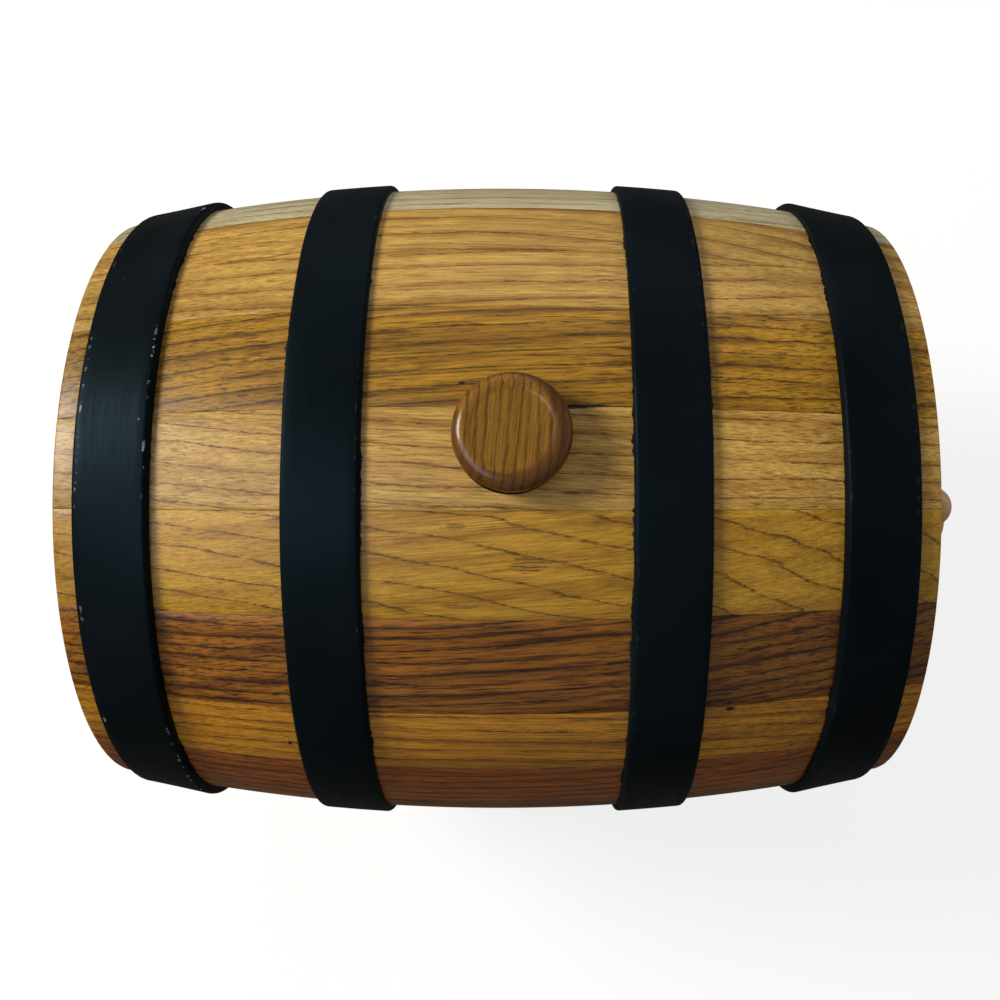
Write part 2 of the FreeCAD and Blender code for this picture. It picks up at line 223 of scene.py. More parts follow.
def stave_shape(start, width):
    """A closed stave from the angle start round the cask's axis through the angle width."""
    bm = bmesh.new()
    ends = [
        Vector((half_length, 0, axis_z + chime_inside)),
        inside(head_outer),
        inside(tongue_outer),
        Vector((tongue_outer, 0, axis_z + croze_radius)),
        Vector((tongue_inner, 0, axis_z + croze_radius)),
    ]
    mirrored = [Vector((-p.x, 0, p.z)) for p in ends[::-1]]
    curve_along(bm, curved(-half_length, 0), half_length, LENGTH_STEPS)
    line_to(bm, *ends)
    curve_along(bm, inside(tongue_inner), -tongue_inner, LENGTH_STEPS)
    line_to(bm, *mirrored)
    bm.faces.new(bm.verts)
    turned = Matrix.Rotation(-start, 3, "X")
    bmesh.ops.rotate(bm, verts=bm.verts, cent=axis_point, matrix=turned)
    bmesh.ops.spin(bm, geom=bm.verts[:] + bm.edges[:] + bm.faces[:], cent=axis_point,
                   axis=-X_AXIS, angle=width, steps=WIDTH_STEPS)

    def from_axis(vertex):
        return math.hypot(vertex.co.y, vertex.co.z - axis_z)

    chimes = []
    for edge in bm.edges:
        a, b = edge.verts
        at_end = min(abs(a.co.x), abs(b.co.x)) > half_length - NEAR
        if at_end and abs(from_axis(a) - from_axis(b)) < NEAR:
            chimes.append(edge)
    ease(bm, chimes, CHIME_EASE)
    sides = [face for face in bm.faces if len(face.verts) > LENGTH_STEPS]
    ease(bm, list({edge for face in sides for edge in face.edges}), JOINT_EASE, 2)
    return bm


# The kinds of oak in this cask: the ground colour, the colour of its soft bands, and of its
# grain lines and open pores, the usual distance between growth rings in millimetres, how far
# each ring's line fades into the wood behind it, and how strong the long dark streaks are.
OAKS = {
    "oak_straw": ("#B69046", "#8A6428", "#52340C", 6.0, 0.8, 0.45),
    "oak_pale": ("#B8934A", "#8E6626", "#523208", 5.2, 0.6, 0.55),
    # Its pale grey ground is painted sheen: the whitish gloss along the stave that curves away at
    # the top.
    "oak_pale_sheen": ("#B6AC88", "#92835F", "#5A4422", 5.6, 0.6, 0.45),
    "oak_honey": ("#A0751C", "#6E4A0A", "#301C02", 4.4, 0.9, 0.9),
    "oak_gold": ("#AD8426", "#845A0E", "#442804", 5.0, 0.4, 0.14),
    "oak_brown": ("#8C570A", "#4A2602", "#1A0A01", 3.4, 0.9, 1.0),
    "oak_amber": ("#BA7F12", "#825206", "#381E03", 4.6, 0.7, 0.5),
    # Its dark russet is partly the wood's own reddish brown and partly painted shade on the lowest
    # stave.
    "oak_russet_shaded": ("#8C4C0E", "#5A2E08", "#1E0A01", 4.0, 0.8, 0.6),
}

# The varnish's weight and roughness, the width of a ring's line of pores in millimetres, and how
# deep a knot goes.
SATIN = (0.5, 0.4)
PORE_LINE = 0.6
MARK_DEPTH = 4 * MM

# The share of their brightness that the staves keep at the back end, and the two places along
# the cask between which it grows to the whole.
BACK_END = 0.8
BACK_END_X = (-124 * MM, -119 * MM)

HOOPS = ("back_head_hoop", "back_bilge_hoop", "front_bilge_hoop", "front_head_hoop")
HOOP_BLACK = "#0D1215"
BLEED = 0.9 * MM


def away_from(tree, place, middle, across):
    """How far a point lies from a middle, measured only in the directions across."""
    flat = add(tree, "VectorMath", {0: place, 1: middle}, operation="SUBTRACT")
    flat = add(tree, "VectorMath", {0: flat, 1: across}, **TIMES)
    return add(tree, "VectorMath", {0: flat}, operation="LENGTH").outputs["Value"]


def from_hoops(tree, place):
    """How far a point lies past the edge of the nearest hoop, along the cask."""
    along = add(tree, "SeparateXYZ", {"Vector": place})
    nearest = 2 * half_length
    for hoop in HOOPS:
        low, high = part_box(hoop)
        away = add(tree, "Math", {0: along, 1: (low.x + high.x) / 2}, operation="SUBTRACT")
        away = add(tree, "Math", {0: away}, operation="ABSOLUTE")
        away = add(tree, "Math", {0: away, 1: (high.x - low.x) / 2}, operation="SUBTRACT")
        nearest = add(tree, "Math", {0: nearest, 1: away}, operation="MINIMUM")
    return nearest


def paint_run(tree, place):
    """Where the brush ran over a hoop's edge on to the wood, further in some stretches than in
    others. Only the outside of the cask was painted."""
    radius = away_from(tree, place, axis_point, (0, 1, 1))
    outside = add(tree, "Math", {0: radius, 1: chime_radius - 2 * MM}, operation="GREATER_THAN")
    fine = add(tree, "TexNoise", {"Vector": place, "Scale": 1 / (2.632 * MM), "Detail": 3.0})
    broad = add(tree, "TexNoise", {"Vector": place, "Scale": 1 / (22.22 * MM), "Detail": 2.0})
    edge = add(tree, "Math", {0: broad, 1: 1.6, 2: fine}, **TIMES_PLUS)
    reach = add(tree, "MapRange", {"Value": edge, 1: 1.38, 2: 1.75, 3: 0.0, 4: BLEED})
    under = add(tree, "Math", {0: from_hoops(tree, place), 1: reach}, operation="LESS_THAN")
    return add(tree, "Math", {0: under, 1: outside}, **TIMES)


def oak(name, light, band, line, ring, halo, streaks, pith, grain, width, wander=2.2,
        figure=0.0, fade=0.0, seed=0, marks=(), painted=False, rim=None, coat=SATIN):
    """Oak under a satin varnish, whose wide sheen pales it. The pith is the middle of the tree's
    rings, and grain and width are the directions along the fibres and across the board. Each
    ring starts with a line of open pores, short dark dashes along the grain, and pales away from
    it. Figure is the angle between the rings and the fibres, fade is how much darker the board
    grows towards the tap, and marks are its knots and torn spots. Painted staves have some of
    the hoops' paint on them and a darker back end. Rim is the middle, radius and colour of a
    darker edge, painted shade on the side away from the key lamp, and coat is the varnish's
    weight and roughness."""
    material, tree, shader, place = new_material(name)
    depth = grain.cross(width).normalized()
    axes = Matrix((grain, depth.cross(grain), depth)).transposed()
    wood = add(tree, "Mapping", {"Vector": place, "Location": pith, "Scale": (MM, MM, MM),
                                 "Rotation": axes.to_euler()}, vector_type="TEXTURE")

    def stretched(along, across, detail, roughness=0.5):
        """Noise drawn out along the grain, with its sizes in millimetres."""
        scaled = add(tree, "VectorMath", {0: wood, 1: (1 / along, 1 / across, 1 / across),
                                          2: (seed * 7.3, seed * 3.1, seed)}, **TIMES_PLUS)
        return add(tree, "TexNoise", {"Vector": scaled, "Scale": 1.0, "Detail": detail,
                                      "Roughness": roughness})

    bent = wood
    for cloud, sway in ((stretched(60.0, 10.0, 2.0), wander * 2), (stretched(3.5, 0.8, 2.0), 0.8)):
        bent = add(tree, "VectorMath", {0: cloud.outputs["Color"], 1: (0, sway, sway), 2: bent},
                   **TIMES_PLUS)
    bent = add(tree, "VectorRotate", {"Vector": bent, "Angle": -math.radians(figure)},
               rotation_type="Z_AXIS")
    rings = add(tree, "TexWave", {"Vector": bent, "Scale": math.pi / 10 / ring},
                wave_type="RINGS", rings_direction="X", wave_profile="SAW").outputs["Fac"]
    pores = PORE_LINE / ring
    short = stretched(11.0, 0.46, 2.0)
    along = add(tree, "SeparateXYZ", {"Vector": place})

    # What each feature comes from, the two values it runs between, and its strength at each.
    features = {
        "ring_line": (rings, 0.3 * pores, pores, 1.0, 0.0),
        "after_line": (rings, 0.0, 0.5, halo, 0.0),
        "before_line": (rings, 0.76, 1.0, 0.0, 0.5 * halo),
        "breaks": (stretched(17.0, 2.2, 2.0), 0.26, 0.46, 0.0, 1.0),
        "dashes": (stretched(3.2, 0.3, 1.0), 0.46, 0.58, 0.0, 1.0),
        "clouds": (stretched(55.0, 4.0, 2.0), 0.3, 0.66, 0.0, 1.0),
        "streaks": (stretched(34.0, 0.62, 2.0), 0.55, 0.64, 0.0, streaks),
        "strokes": (short, 0.54, 0.66, 0.0, 0.6),
        "torn_pale": (short, 0.46, 0.34, 1.0, 1.2),
        "fine_pores": (stretched(2.4, 0.22, 1.0), 0.6, 0.72, 0.0, 0.4),
        "fibres": (stretched(40.0, 0.34, 2.0, 0.65), 0.32, 0.68, 0.8, 1.12),
        "bands": (stretched(160.0, 5.0, 2.0), 0.42, 0.66, 0.0, 0.55),
        "fade": (along, -half_length, half_length, 1 + fade, 1 - fade),
        "darker_back_end": (along, *BACK_END_X, BACK_END if painted else 1.0, 1.0),
    }
    seen = {}
    for feature, (source, low, high, at_low, at_high) in features.items():
        seen[feature] = add(tree, "MapRange", {"Value": source, 1: low, 2: high, 3: at_low,
                                               4: at_high}, **SMOOTH)

    # Dark is where the pores and long streaks lie, and soft where the wood takes its band colour.
    in_line = add(tree, "MapRange", {"Value": seen["dashes"], 3: 0.45, 4: 1.0}, **SMOOTH)
    in_streak = add(tree, "MapRange", {"Value": seen["dashes"], 3: 0.6, 4: 0.9}, **SMOOTH)
    lines = add(tree, "Math", {0: seen["ring_line"], 1: seen["breaks"]}, **TIMES)
    lines = add(tree, "Math", {0: lines, 1: in_line}, **TIMES)
    streaked = add(tree, "Math", {0: seen["streaks"], 1: in_streak}, **TIMES)
    dark = add(tree, "Math", {0: lines, 1: streaked}, **SUM_TO_ONE)
    dark = add(tree, "Math", {0: dark, 1: seen["fine_pores"]}, **SUM_TO_ONE)
    soft = add(tree, "Math", {0: seen["after_line"], 1: seen["before_line"]}, **SUM_TO_ONE)
    soft = add(tree, "Math", {0: soft, 1: seen["clouds"]}, **TIMES)
    soft = add(tree, "Math", {0: soft, 1: seen["bands"]}, **SUM_TO_ONE)
    soft = add(tree, "Math", {0: soft, 1: seen["strokes"]}, **SUM_TO_ONE)
    inked = add(tree, "Math", {0: dark, 1: 0.92}, **TIMES)
    shaded = add(tree, "MixRGB", {0: soft, 1: colour(light), 2: colour(band)})
    shaded = add(tree, "MixRGB", {0: inked, 1: shaded, 2: colour(line)})
    for feature in ("fibres", "torn_pale", "fade", "darker_back_end"):
        shaded = add(tree, "VectorMath", {0: shaded, "Scale": seen[feature]}, operation="SCALE")
    gloss = add(tree, "MapRange", {"Value": dark, 3: 0.42, 4: 0.6}, **SMOOTH)

    for middle, turn, length, across, stain_and_shade, torn in marks:
        spot = add(tree, "Mapping", {"Vector": place, "Location": middle, "Rotation": turn,
                                     "Scale": (length / 2 * MM, across / 2 * MM, MARK_DEPTH)},
                   vector_type="TEXTURE")
        rough = add(tree, "TexNoise", {"Vector": spot, "Scale": 2.4, "Detail": 3.0})
        away = add(tree, "VectorMath", {0: spot}, operation="LENGTH").outputs["Value"]
        ragged = add(tree, "Math", {0: away, 1: rough})
        mask = add(tree, "MapRange", {"Value": ragged, 1: 1.1, 2: 1.5, 3: 1.0, 4: 0.0}, **SMOOTH)
        if torn:
            ripple = add(tree, "TexWave", {"Vector": spot, "Scale": 0.8, "Distortion": 5.0,
                                           "Detail": 3.0, "Detail Scale": 2.0},
                         bands_direction="Y").outputs["Fac"]
            ripple = add(tree, "MapRange", {"Value": ripple, 1: 0.3, 2: 0.9, 3: 0.15, 4: 0.8},
                         **SMOOTH)
            mask = add(tree, "Math", {0: mask, 1: ripple}, **TIMES)
        shaded = add(tree, "MixRGB", {0: mask, 1: shaded, 2: colour(stain_and_shade)})
        dark = add(tree, "Math", {0: dark, 1: mask}, **SUM_TO_ONE)

    if painted:
        shaded = add(tree, "MixRGB", {0: paint_run(tree, place), 1: shaded, 2: colour(HOOP_BLACK)})
    # A darker rim, set off towards the side away from the key lamp: painted shade.
    if rim:
        middle, radius, stain_and_shade = rim
        away = away_from(tree, place, middle, (1, 1, 0))
        edge = add(tree, "MapRange", {"Value": away, 1: radius - MM, 2: radius + MM, 4: 0.7},
                   **SMOOTH)
        shaded = add(tree, "MixRGB", {0: edge, 1: shaded, 2: colour(stain_and_shade)})
    bump = add(tree, "Bump", {"Strength": 0.5, "Distance": 0.0002, "Height": dark}, invert=True)
    feed(tree, shader, {"Base Color": shaded, "Roughness": gloss, "Normal": bump,
                        "Specular IOR Level": 0.06, "Coat Weight": coat[0],
                        "Coat Roughness": coat[1]})
    return material


# Each stave's oak, the slope of its fibres and of its rings against them in degrees, how far the
# pith lies to its side and below it in millimetres, and its fade.
STAVES = [
    ("oak_amber", -1.5, 0, 70, 30, 0.14),
    ("oak_brown", 3.6, 0.5, -60, 40, 0.28),
    ("oak_gold", 5.0, -17.0, 60, 60, 0.03),
    ("oak_pale", -2.4, -0.8, -80, 35, -0.08),
    ("oak_honey", 2.6, 0.4, 75, 30, -0.06),
    ("oak_straw", 1.2, 0.6, -70, 45, 0.02),
    ("oak_straw", -2.2, -1, 55, 60, 0.11),
    # The eighth stave's pale grey oak is painted sheen.
    ("oak_pale_sheen", 0.8, 0, -60, 50, 0.0),
]
# The lowest stave's dark russet is partly its own colour and partly painted shade.
LOWEST_STAVE = ("oak_russet_shaded", 2.0, 0, -65, 40, 0.1)

# The rest of the circle takes all but the last of them again, in steps of three, with their
# slope turned the other way and their figure straighter.
REST_START, REST_STEP = 5, 3
REST_SLOPE, REST_FIGURE = -0.8, 0.3

# Knots, a split, torn grain and a drop of paint: the stave, how far along the cask and round it
# from the bung they lie in millimetres and degrees, their length and width, their colour, and if
# they ripple.
KNOT = "#1A0D04"
MARKS = [
    (1, 69.3, -44.7, 3.4, 2.0, KNOT, False),
    (2, 69.0, -43.4, 2.6, 1.2, KNOT, False),
    (5, -10.2, 8.2, 2.4, 1.1, KNOT, False),
    (7, -37.8, 38.6, 1.4, 1.1, KNOT, False),
    (23, -18.7, -63.7, 2.2, 1.2, KNOT, False),
    (5, 24.0, 4.6, 22.0, 1.5, KNOT, False),
    (4, 22.0, 4.6, 15.0, 1.7, KNOT, False),
    (3, 9.0, -18.6, 13.0, 5.6, "#4A2E0A", True),
    (3, -62.0, -12.0, 5.0, 1.0, "#4A2E0C", True),
    (3, -11.6, -13.0, 7.0, 2.4, "#4A2E0A", True),
    (3, -10.0, -25.0, 14.0, 1.6, "#3A2208", True),
    (1, -64.2, -52.6, 1.6, 2.2, HOOP_BLACK, False),
]

BUNG_TIP = 13.4 * MM
HOLE_CLEARANCE = 0.5 * MM
HOLE_ASIDE = Vector((-0.4, -0.26, 0)) * MM
bung_low, bung_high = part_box("bung")
bung_middle = (bung_low + bung_high) / 2
bung_radius = (bung_high.x - bung_low.x) / 2

for number in range(1, STAVE_COUNT + 1):
    node = "stave_%02d" % number
    points = places(node)
    facing = math.atan2(sum(math.sin(a) for x, r, a in points),
                        sum(math.cos(a) for x, r, a in points))
    turns = [math.remainder(a - facing, math.tau) for x, r, a in points]
    if number <= len(STAVES):
        kind, slope, figure, aside, below, fade = STAVES[number - 1]
    elif number == STAVE_COUNT:
        kind, slope, figure, aside, below, fade = LOWEST_STAVE
    else:
        again = (REST_START + REST_STEP * number) % (len(STAVES) - 1)
        kind, slope, figure, aside, below, fade = STAVES[again]
        slope, figure = REST_SLOPE * slope, REST_FIGURE * figure
    turn = Matrix.Rotation(-facing, 3, "X")
    slope_turn = turn @ Matrix.Rotation(math.radians(slope), 3, "Z")
    grain, across, outwards = slope_turn @ X_AXIS, slope_turn @ Y_AXIS, turn @ Z_AXIS
    pith = axis_point + outwards * (bilge_radius - below * MM) + across * aside * MM
    marks = []
    for stave, x, angle, length, width, stain_and_shade, torn in MARKS:
        if stave == number:
            round_cask = Matrix.Rotation(-math.radians(angle), 3, "X")
            middle = axis_point + round_cask @ (curved(x * MM, 0) - axis_point)
            marks.append((middle, round_cask.to_euler(), length, width, stain_and_shade, torn))
    wood = oak(node + "_oak", *OAKS[kind], pith=pith, grain=grain, width=across, figure=figure,
               fade=fade, seed=number, marks=marks, painted=True)
    shape = stave_shape(facing + min(turns), max(turns) - min(turns))
    piece = make_piece(shape, "oak_" + node, "cask", [node], wood)
    if node in ("stave_04", "stave_05"):
        tip, top = (Vector((*bung_middle.xy, z)) + HOLE_ASIDE for z in (bung_low.z, bung_high.z))
        cut_away(piece, cone(tip, top, BUNG_TIP + HOLE_CLEARANCE, bung_radius + HOLE_CLEARANCE))


# Heads
# Each head is five upright oak boards, edge-jointed, turned to a disc and bevelled to a tongue
# that sits in the staves' croze. The front head's middle board is bored for the tap's shank.

HEAD_BEVEL = 6 * MM
BOARD_EASE = 0.4 * MM
HEAD_STEPS = 144
SHANK_RADIUS = 10.4 * MM
SHANK_TAPER = 1.8 * MM
HOLE_STRETCH = 1.02
SAME_VERTEX = 0.001 * MM

rim_radius = inside(head_outer).z - axis_z
tap_low, tap_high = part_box("tap_body")
tap_z = (tap_low.z + tap_high.z) / 2


def turned_about(bm, centre, axis, steps=96):
    """Spin an outline right round an axis into a closed turning."""
    bmesh.ops.spin(bm, geom=bm.verts[:] + bm.edges[:], cent=centre, axis=axis, angle=math.tau,
                   steps=steps, use_merge=True)
    bmesh.ops.remove_doubles(bm, verts=bm.verts, dist=SAME_VERTEX)
    return bm


def head_disc():
    """A whole head, from the middle of its inner face round its rim to its outer face."""
    bm = bmesh.new()
    flat_z = axis_z + rim_radius - HEAD_BEVEL
    line_to(bm, (head_inner, 0, axis_z), (head_inner, 0, flat_z), inside(tongue_inner),
            (tongue_inner, 0, axis_z + croze_radius), (tongue_outer, 0, axis_z + croze_radius),
            inside(tongue_outer), (head_outer, 0, flat_z), (head_outer, 0, axis_z))
    return turned_about(bm, axis_point, X_AXIS, HEAD_STEPS)


def board_shape(low_y, high_y):
    """The part of the head between two joints, with a little bevel along each joint."""
    bm = head_disc()
    for joint, outwards in ((low_y, -1), (high_y, 1)):
        if abs(joint) > croze_radius - MM:
            continue
        bmesh.ops.bisect_plane(bm, geom=bm.verts[:] + bm.edges[:] + bm.faces[:], clear_outer=True,
                               plane_co=(0, joint, 0), plane_no=(0, outwards, 0))
        bmesh.ops.holes_fill(bm, edges=[e for e in bm.edges if e.is_boundary], sides=0)
    eased = []
    for edge in bm.edges:
        a, b = (vertex.co for vertex in edge.verts)
        along_joint = abs(a.y - b.y) < NEAR and min(abs(a.y - low_y), abs(a.y - high_y)) < NEAR
        if along_joint and abs(a.x - b.x) < NEAR and a.x in (head_inner, head_outer):
            eased.append(edge)
    ease(bm, eased, BOARD_EASE, 2)
    return bm


# Each board's oak, the slope of its grain, and how far its pith lies aside and behind.
BOARDS = [
    ("oak_honey", 1.0, 60, 40),
    ("oak_pale", -1.5, -12, 55),
    ("oak_straw", 0.6, 8, 70),
    ("oak_gold", 2.0, -45, 40),
    ("oak_pale", -0.8, 70, 35),
]

# How far apart along their trunk two boards of a head were cut, so that no figure repeats.
BOARD_STEP = 53 * MM

for end, facing in (("front", 1), ("back", -1)):
    for number, (kind, slope, aside, below) in enumerate(BOARDS, 1):
        node = "%s_head_board_%d" % (end, number)
        low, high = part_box(node)
        board = board_shape(*sorted((facing * low.y, facing * high.y)))
        if facing < 0:
            turn = Matrix.Rotation(math.pi, 3, "Z")
            bmesh.ops.rotate(board, verts=board.verts, cent=(0, 0, 0), matrix=turn)
            kind = BOARDS[number * 2 % len(BOARDS)][0]
        tilt = Matrix.Rotation(math.radians(slope * facing), 3, "X")
        pith = Vector((facing * (head_outer - below * MM), (low.y + high.y) / 2 + aside * MM,
                       number * BOARD_STEP))
        wood = oak(node + "_oak", *OAKS[kind], pith=pith, grain=tilt @ Z_AXIS, width=tilt @ Y_AXIS)
        piece = make_piece(board, "oak_" + node, "cask", [node], wood)
        if facing > 0 and low.y < 0 < high.y:
            hole = cone(Vector((tap_low.x, 0, tap_z)), Vector((head_outer, 0, tap_z)),
                        SHANK_RADIUS - SHANK_TAPER, SHANK_RADIUS)
            bmesh.ops.scale(hole, verts=hole.verts, vec=(HOLE_STRETCH, 1.0, 1.0))
            cut_away(piece, hole)


# Head dowels
# Short beech pegs across each joint between the boards, two to a joint, pushed in dry. Their
# plain shape is the frame's own.


def beech(name, light, dark, grain):
    """Beech, oiled: an even ground with short fine flecks along the grain, which look like
    pencil marks, and soft darker bands where the rings pass."""
    material, tree, shader, place = new_material(name)
    turned = grain.to_track_quat("X", "Z").to_euler()
    wood = add(tree, "Mapping", {"Vector": place, "Scale": (MM, MM, MM), "Rotation": turned},
               vector_type="TEXTURE")
    masks = []
    for size, low, high in (((2.2, 0.22, 0.22), 0.6, 0.7), ((40, 3, 3), 0.35, 0.7),
                            ((14, 0.5, 0.5), 0.3, 0.8)):
        scaled = add(tree, "VectorMath", {0: wood, 1: [1 / s for s in size]}, **TIMES)
        cloud = add(tree, "TexNoise", {"Vector": scaled, "Scale": 1.0, "Detail": 2.0})
        masks.append(add(tree, "MapRange", {"Value": cloud, 1: low, 2: high}, **SMOOTH))
    flecks, bands, fibres = masks
    soft = add(tree, "Math", {0: bands, 1: 0.45}, **TIMES)
    soft = add(tree, "Math", {0: fibres, 1: 0.2, 2: soft}, **TIMES_PLUS)
    flecked = add(tree, "Math", {0: flecks, 1: 0.75, 2: soft}, use_clamp=True, **TIMES_PLUS)
    mixed = add(tree, "MixRGB", {0: flecked, 1: colour(light), 2: colour(dark)})
    bump = add(tree, "Bump", {"Strength": 0.3, "Distance": 0.0001, "Height": flecked}, invert=True)
    feed(tree, shader, {"Base Color": mixed, "Roughness": 0.42, "Normal": bump,
                        "Specular IOR Level": 0.3})
    return material


BEECH = ("#B49464", "#82643C")
dowel_beech = beech("dowel_beech", *BEECH, grain=Y_AXIS)
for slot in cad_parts["head_dowels"].material_slots:
    slot.material = dowel_beech


# Hoops
# Four strips of mild steel, rolled to the cask's slope, lapped and riveted underneath, driven
# on and brushed with satin black paint, which has chipped along their edges.

HOOP_THICKNESS = 2.2 * MM
SHOULDER = 1.2 * MM
RAMP_LENGTH = 8 * MM
LAP_LENGTH = 32 * MM
LAP_ANGLE = math.radians(-128)
LAP_GAP = 0.02 * MM
STEP_ANGLE = math.radians(2)
FLAT_STEPS = 6
SHOULDER_STEPS = 4
WAVER = 0.12 * MM
WAVES_PER_METRE = 60
RIVET_SPACING = 15 * MM
RIVET_HEAD = (3.6 * MM, 1.5 * MM)
RIVET_SHANK = 2 * MM
EDGE_LIFT = 0.8 * MM

# How far in from a hoop's edges its chips lie, in a band that fades between two widths, and the
# places along the cask from which and to which they grow scarce, and how scarce they grow.
CHIP_LINE = 1.3 * MM
CHIP_BAND = (0.5 * MM, 0.1 * MM)
CHIPPED_X = (-95 * MM, -65 * MM)
SCARCE = 0.05


def satin_paint():
    """Black satin enamel over steel: bluish black, softly brushed round the hoop, with specks
    and with chips down to the grey primer along its shoulders. Its gloss is tinted blue, a
    painted cool reflection."""
    material, tree, shader, place = new_material("satin_black_enamel")
    brushed = (1 / (1.111 * MM), 1 / (16.67 * MM), 1 / (16.67 * MM))
    drawn = add(tree, "VectorMath", {0: place, 1: brushed}, **TIMES)
    brush = add(tree, "TexNoise", {"Vector": drawn, "Scale": 1.0, "Detail": 2.0})

    # The size of each kind of patch, its detail, and the two values that it shows between.
    patches = {
        "tone": (45.45 * MM, 3.0, 0.35, 0.65),
        "chips": (2.381 * MM, 4.0, 0.56, 0.62),
        "chipped": (35.71 * MM, 1.0, 0.52, 0.6),
        "specks": (1.923 * MM, 1.0, 0.77, 0.8),
        "specked": (14.29 * MM, 1.0, 0.55, 0.6),
    }
    seen = {}
    for patch, (size, detail, low, high) in patches.items():
        cloud = add(tree, "TexNoise", {"Vector": place, "Scale": 1 / size, "Detail": detail})
        seen[patch] = add(tree, "MapRange", {"Value": cloud, 1: low, 2: high})

    inset = add(tree, "Math", {0: from_hoops(tree, place), 1: CHIP_LINE})
    inset = add(tree, "Math", {0: inset}, operation="ABSOLUTE")
    on_edge = add(tree, "MapRange", {"Value": inset, 1: CHIP_BAND[0], 2: CHIP_BAND[1]})
    along = add(tree, "SeparateXYZ", {"Vector": place})
    knocked = add(tree, "MapRange", {"Value": along, 1: CHIPPED_X[0], 2: CHIPPED_X[1], 3: 1.0,
                                     4: SCARCE})
    chips = add(tree, "Math", {0: seen["chips"], 1: seen["chipped"]}, **TIMES)
    chips = add(tree, "Math", {0: chips, 1: on_edge}, **TIMES)
    specks = add(tree, "Math", {0: seen["specks"], 1: seen["specked"]}, **TIMES)
    bare = add(tree, "Math", {0: specks, 1: 0.6, 2: chips}, use_clamp=True, **TIMES_PLUS)
    bare = add(tree, "Math", {0: bare, 1: knocked}, **TIMES)
    body = add(tree, "MixRGB", {0: seen["tone"], 1: colour("#070B0D"), 2: colour("#0B1115")})
    chipped = add(tree, "MixRGB", {0: bare, 1: body, 2: colour("#7C8A8A")})
    matt = add(tree, "MapRange", {"Value": brush, 1: 0.3, 2: 0.7, 3: 0.36, 4: 0.46})
    bump = add(tree, "Bump", {"Strength": 0.2, "Distance": 0.0001, "Height": brush})
    # The blue Specular Tint is a painted reflection: it gives the gloss a cool colour that the
    # lamps lack.
    feed(tree, shader, {"Base Color": chipped, "Roughness": matt, "Normal": bump,
                        "Specular IOR Level": 0.045, "Specular Tint": colour("#98DAFF")})
    return material


def hoop_shape(low_x, high_x, edge_lift):
    """A strip wound once round the cask, its outer end riding over its inner end. The edge
    towards the bilge stands proud by edge_lift."""
    bm = bmesh.new()
    outer_x = max(low_x, high_x, key=abs)
    flat = [low_x + (high_x - low_x) * i / FLAT_STEPS for i in range(FLAT_STEPS + 1)]
    outline = [(x, 0.0) for x in flat]
    for edge_x, side in ((high_x - SHOULDER, 1), (low_x + SHOULDER, -1)):
        corner = []
        for i in range(SHOULDER_STEPS + 1):
            angle = math.radians(90 * i / SHOULDER_STEPS)
            x = edge_x + side * SHOULDER * math.cos(angle)
            corner.append((x, HOOP_THICKNESS - SHOULDER + SHOULDER * math.sin(angle)))
        outline += corner[::side]
        if side > 0:
            outline += [(x, HOOP_THICKNESS) for x in flat[-2:0:-1]]
    for x, proud in outline:
        lift = edge_lift * ((x - outer_x) / (high_x - low_x)) ** 2
        bm.verts.new(curved(x, proud + lift * proud / HOOP_THICKNESS))
    section = len(bm.verts)
    bm.faces.new(bm.verts)
    radius = curved((low_x + high_x) / 2, 0).z - axis_z
    lap = LAP_LENGTH / radius
    ramp = RAMP_LENGTH / radius
    steps = round((math.tau + lap) / STEP_ANGLE)
    start = Matrix.Rotation(-(LAP_ANGLE + lap / 2), 3, "X")
    bmesh.ops.rotate(bm, verts=bm.verts, cent=axis_point, matrix=start)
    bmesh.ops.spin(bm, geom=bm.verts[:] + bm.edges[:] + bm.faces[:], cent=axis_point,
                   axis=X_AXIS, angle=math.tau + lap, steps=steps)
    for index, vertex in enumerate(bm.verts):
        turned = (index // section) * (math.tau + lap) / steps
        climb = min(1.0, max(0.0, (turned - math.tau + ramp) / ramp))
        out = vertex.co - axis_point
        out.x = 0
        waver = noise.noise(vertex.co * WAVES_PER_METRE) * WAVER
        lift = climb * climb * (3 - 2 * climb) * (HOOP_THICKNESS + LAP_GAP)
        vertex.co += out.normalized() * lift
        vertex.co.x += waver
    return bm


def add_rivet(bm, place):
    """Add one rivet, whose shank starts at the place's origin and stands up along its Z."""
    head_radius, head_height = RIVET_HEAD
    ball = (head_radius**2 + head_height**2) / (2 * head_height)
    top = 2 * HOOP_THICKNESS
    start = len(bm.verts)
    first = bm.verts.new((0, 0, top + head_height))
    bmesh.ops.spin(bm, geom=[first], cent=(0, 0, top + head_height - ball), axis=Y_AXIS,
                   angle=math.asin(head_radius / ball), steps=6)
    chain = bm.verts[start:]
    for point in ((RIVET_SHANK, 0, top), (RIVET_SHANK, 0, 0), (0, 0, 0)):
        chain.append(bm.verts.new(point))
        bm.edges.new(chain[-2:])
    edges = [e for e in bm.edges if e.verts[0] in chain]
    bmesh.ops.spin(bm, geom=chain + edges, cent=(0, 0, 0), axis=Z_AXIS, angle=math.tau,
                   steps=24, use_merge=True)
    bmesh.ops.transform(bm, matrix=place, verts=bm.verts[start:])


